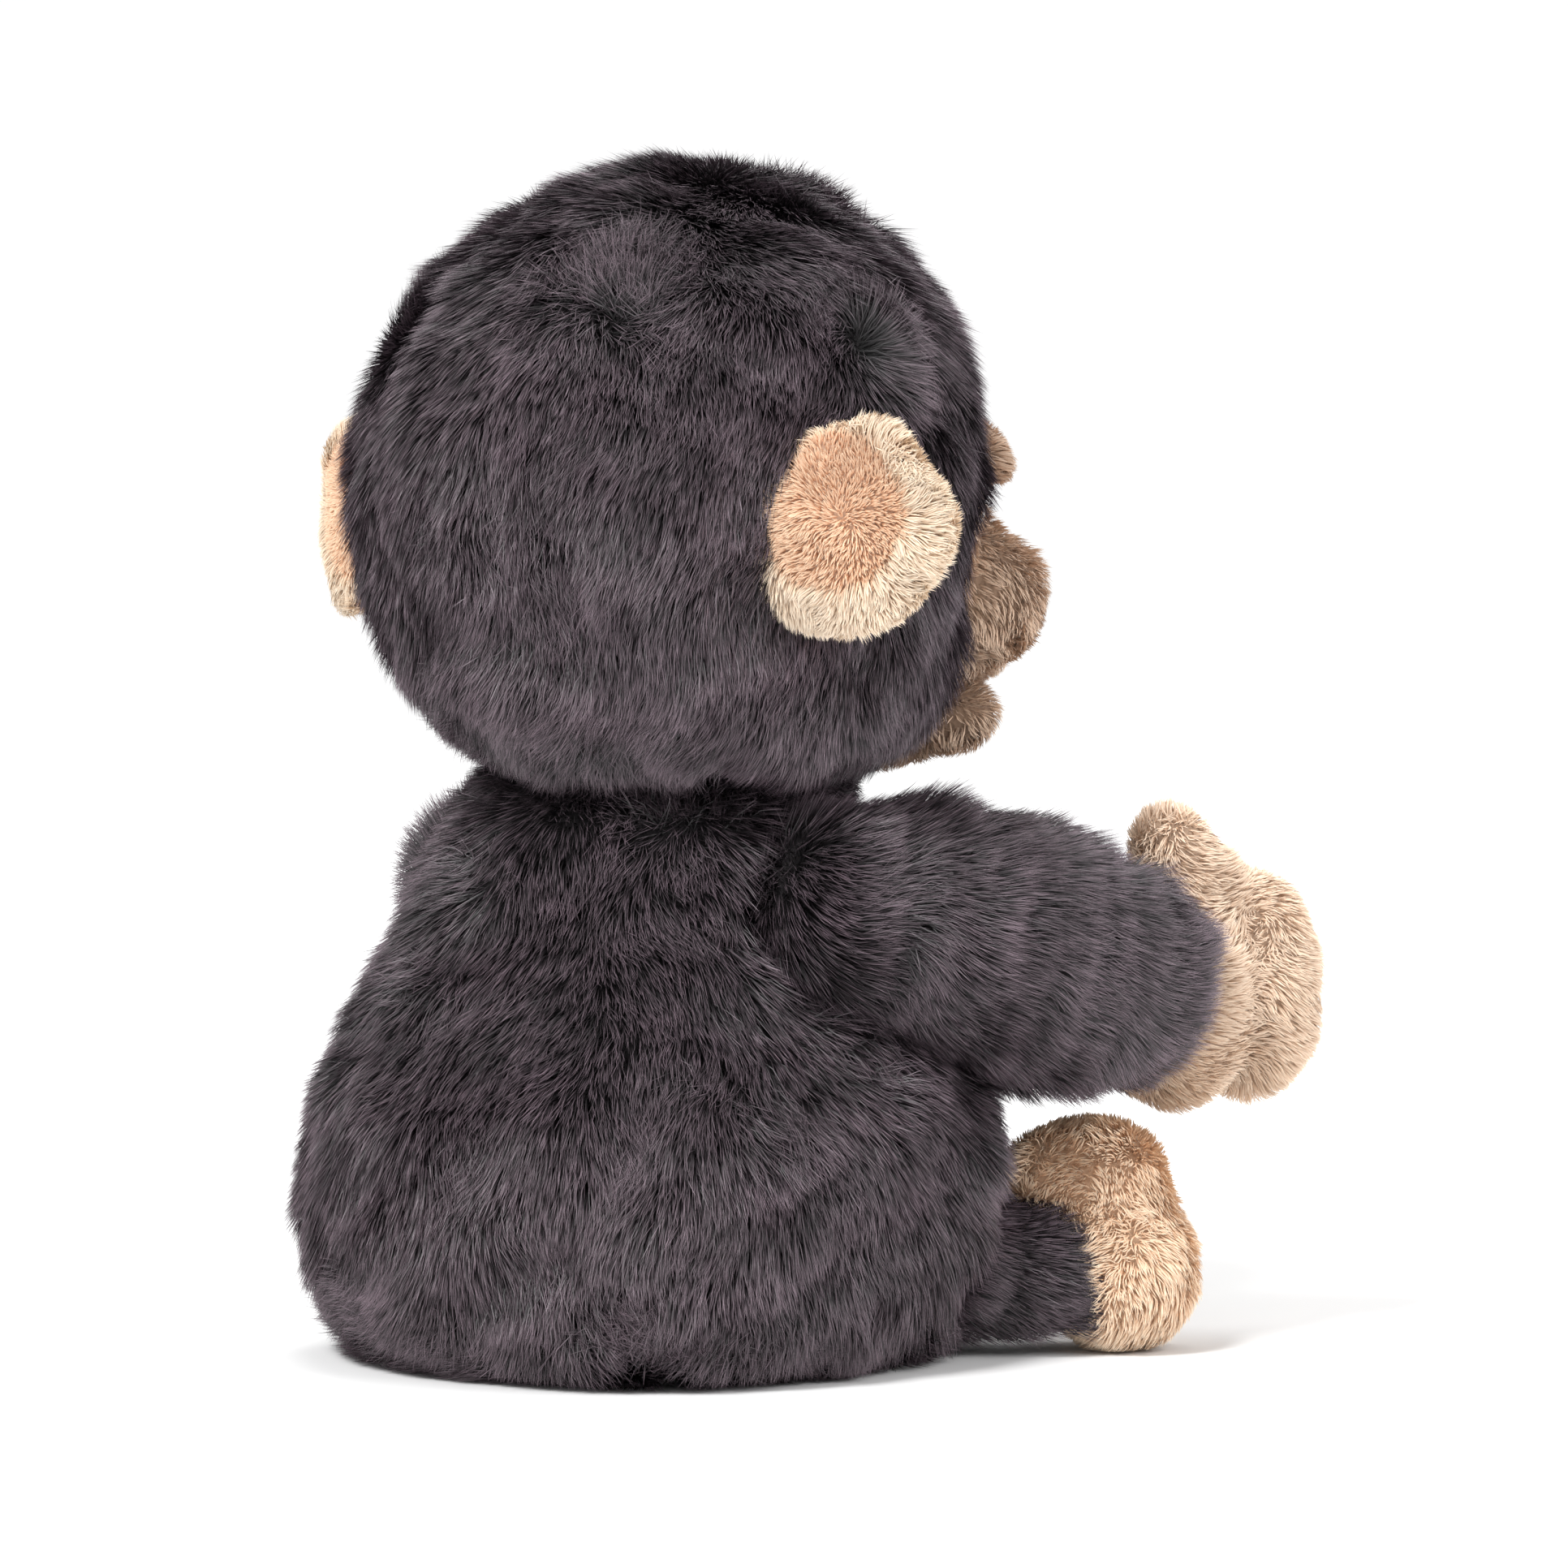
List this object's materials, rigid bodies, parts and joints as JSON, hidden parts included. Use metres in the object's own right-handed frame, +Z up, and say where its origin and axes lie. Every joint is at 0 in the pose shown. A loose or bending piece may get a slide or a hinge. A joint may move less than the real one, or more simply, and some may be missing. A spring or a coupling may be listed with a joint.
{
  "type": "plush ape",
  "caption": "Seated plush ape with long dark pile, tan hands, feet and ears; head, ears, arms, hands and legs bend on sprung joints.",
  "frame": {"origin": "centre of the seat's flat underside", "axes": "-Y the way the toy faces, +X the toy's own left, +Z up"},
  "size_m": [0.1634, 0.1782, 0.223],
  "materials": {
    "long_dark_pile": "long soft pile",
    "tan_plush": "short plush pile",
    "face_plush": "short plush pile",
    "ear_plush": "short plush pile",
    "fibre_filling": "loose polyester fibre",
    "pouch_cloth": "woven cloth",
    "pellets": "small beads",
    "washer_plastic": "moulded",
    "eye_plastic": "polished",
    "dark_thread": "twisted thread",
    "face_thread": "satin stitch"
  },
  "bodies": {
    "arm_l": {"arm_filling_l": "fibre_filling", "sleeve_lower_l": "long_dark_pile", "sleeve_upper_l": "long_dark_pile"},
    "arm_r": {"arm_filling_r": "fibre_filling", "sleeve_lower_r": "long_dark_pile", "sleeve_upper_r": "long_dark_pile"},
    "shoulder_l": {"armhole_ring_l": "long_dark_pile"},
    "shoulder_r": {"armhole_ring_r": "long_dark_pile"},
    "head": {"brow_roll": "face_plush", "chin_panel": "face_plush", "eye_l": "eye_plastic", "eye_r": "eye_plastic", "eye_washer_l": "washer_plastic", "eye_washer_r": "washer_plastic", "face_panel": "face_plush", "head_filling": "fibre_filling", "head_gusset": "long_dark_pile", "head_side_l": "long_dark_pile", "head_side_r": "long_dark_pile", "mouth_stitch": "face_thread", "muzzle_filling": "fibre_filling", "muzzle_panel": "face_plush", "nostril_stitch_l": "face_thread", "nostril_stitch_r": "face_thread"},
    "torso": {"closing_stitch": "dark_thread", "pellet_fill": "pellets", "pellet_pouch": "pouch_cloth", "torso_back_l": "long_dark_pile", "torso_back_r": "long_dark_pile", "torso_belly": "long_dark_pile", "torso_filling": "fibre_filling", "torso_seat": "long_dark_pile"},
    "ear_l": {"ear_back_l": "ear_plush", "ear_front_l": "ear_plush"},
    "ear_r": {"ear_back_r": "ear_plush", "ear_front_r": "ear_plush"},
    "leg_l": {"foot_filling_l": "fibre_filling", "foot_sole_l": "tan_plush", "foot_top_l": "tan_plush", "leg_filling_l": "fibre_filling", "leg_lower_l": "long_dark_pile", "leg_upper_l": "long_dark_pile"},
    "leg_r": {"foot_filling_r": "fibre_filling", "foot_sole_r": "tan_plush", "foot_top_r": "tan_plush", "leg_filling_r": "fibre_filling", "leg_lower_r": "long_dark_pile", "leg_upper_r": "long_dark_pile"},
    "hand_l": {"hand_back_l": "tan_plush", "hand_filling_l": "fibre_filling", "hand_palm_l": "tan_plush"},
    "hand_r": {"hand_back_r": "tan_plush", "hand_filling_r": "fibre_filling", "hand_palm_r": "tan_plush"},
    "neck": {"neck_ring": "long_dark_pile"}
  },
  "joints": [
    {"name": "head_turn", "type": "hinge", "parent": "torso", "child": "neck", "pos_m": [0, -0.004, 0.162], "axis": [0, 0, 1], "range_deg": [-30, 30], "stiffness_Nm_per_rad": 0.2},
    {"name": "head_nod", "type": "hinge", "parent": "neck", "child": "head", "pos_m": [0, -0.004, 0.162], "axis": [-1, 0, 0], "range_deg": [-3, 20], "stiffness_Nm_per_rad": 0.3},
    {"name": "ear_fold_l", "type": "hinge", "parent": "head", "child": "ear_l", "pos_m": [0.059, 0.0165, 0.154], "axis": [0, 0, 1], "range_deg": [-20, 20], "stiffness_Nm_per_rad": 0.01},
    {"name": "arm_spread_l", "type": "hinge", "parent": "torso", "child": "shoulder_l", "pos_m": [0.048, 0, 0.083], "axis": [0, 0, 1], "range_deg": [0, 30], "stiffness_Nm_per_rad": 0.08},
    {"name": "arm_lift_l", "type": "hinge", "parent": "shoulder_l", "child": "arm_l", "pos_m": [0.048, 0, 0.083], "axis": [-1, 0, 0], "range_deg": [0, 25], "stiffness_Nm_per_rad": 0.12},
    {"name": "hand_bend_l", "type": "hinge", "parent": "arm_l", "child": "hand_l", "pos_m": [0.05603, -0.07639, 0.06946], "axis": [-0.9945, -0.1045, 0], "range_deg": [-15, 15], "stiffness_Nm_per_rad": 0.05},
    {"name": "leg_spread_l", "type": "hinge", "parent": "torso", "child": "leg_l", "pos_m": [0.042, -0.036, 0.0165], "axis": [0, 0, 1], "range_deg": [-8, 30], "stiffness_Nm_per_rad": 0.08},
    {"name": "ear_fold_r", "type": "hinge", "parent": "head", "child": "ear_r", "pos_m": [-0.059, 0.0165, 0.154], "axis": [0, 0, -1], "range_deg": [-20, 20], "stiffness_Nm_per_rad": 0.01},
    {"name": "arm_spread_r", "type": "hinge", "parent": "torso", "child": "shoulder_r", "pos_m": [-0.048, 0, 0.083], "axis": [0, 0, -1], "range_deg": [0, 30], "stiffness_Nm_per_rad": 0.08},
    {"name": "arm_lift_r", "type": "hinge", "parent": "shoulder_r", "child": "arm_r", "pos_m": [-0.048, 0, 0.083], "axis": [-1, 0, 0], "range_deg": [0, 25], "stiffness_Nm_per_rad": 0.12},
    {"name": "hand_bend_r", "type": "hinge", "parent": "arm_r", "child": "hand_r", "pos_m": [-0.05603, -0.07639, 0.06946], "axis": [-0.9945, 0.1045, 0], "range_deg": [-15, 15], "stiffness_Nm_per_rad": 0.05},
    {"name": "leg_spread_r", "type": "hinge", "parent": "torso", "child": "leg_r", "pos_m": [-0.042, -0.036, 0.0165], "axis": [0, 0, -1], "range_deg": [-8, 30], "stiffness_Nm_per_rad": 0.08}
  ]
}
